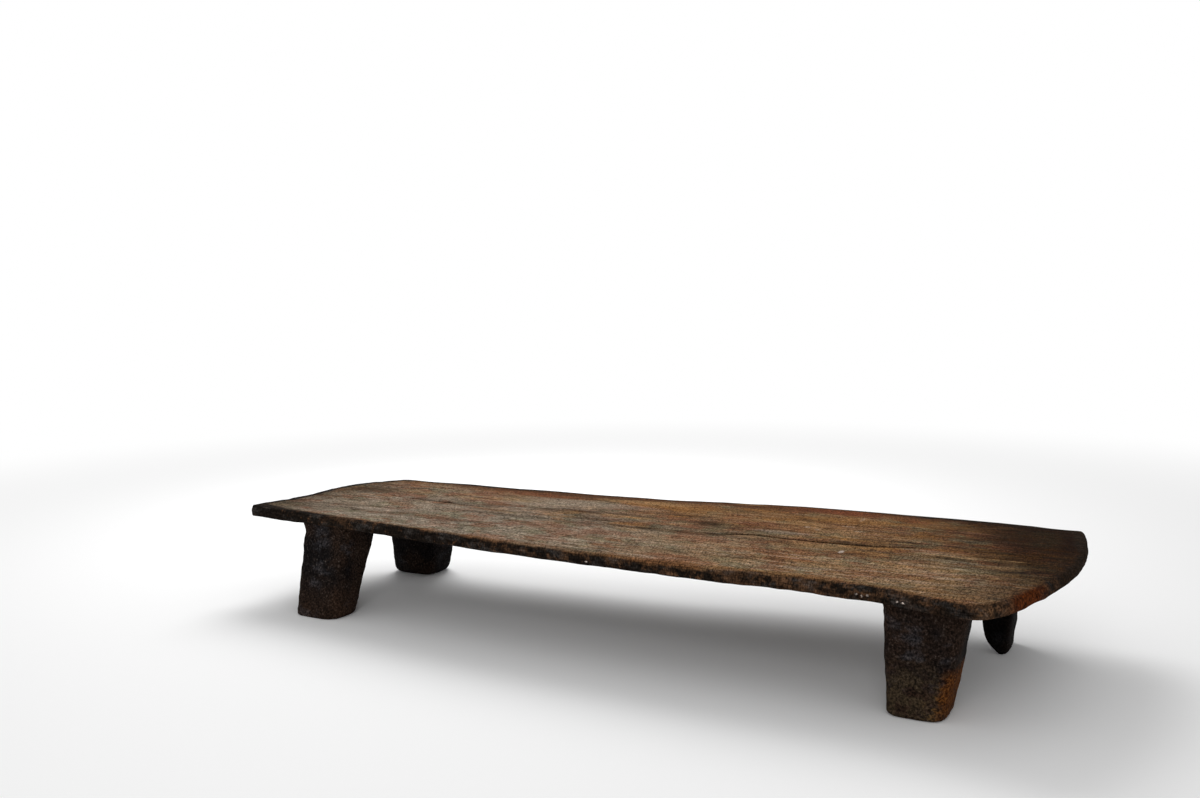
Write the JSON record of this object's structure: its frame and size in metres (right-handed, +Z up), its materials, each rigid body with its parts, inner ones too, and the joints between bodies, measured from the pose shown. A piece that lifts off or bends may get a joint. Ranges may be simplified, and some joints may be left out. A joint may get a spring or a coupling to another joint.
{
  "type": "senufo daybed",
  "caption": "Long low daybed carved from a log: thin board with hand-cut outline, wider at one end, on short stout splayed legs with rounded feet.",
  "frame": {"origin": "on the floor, under the middle of the bounding box", "axes": "+X along the bed towards its wider end, +Y towards the back long side, +Z up"},
  "size_m": [2.0834, 0.7874, 0.266],
  "materials": {
    "board_wood": "hand-cut, dry and matt",
    "leg_wood": "hand-cut, dry and matt"
  },
  "bodies": {
    "root": {"bed_board": "board_wood", "leg_front_left": "leg_wood", "leg_front_right": "leg_wood", "leg_back_left": "leg_wood", "leg_back_right": "leg_wood"}
  },
  "joints": []
}
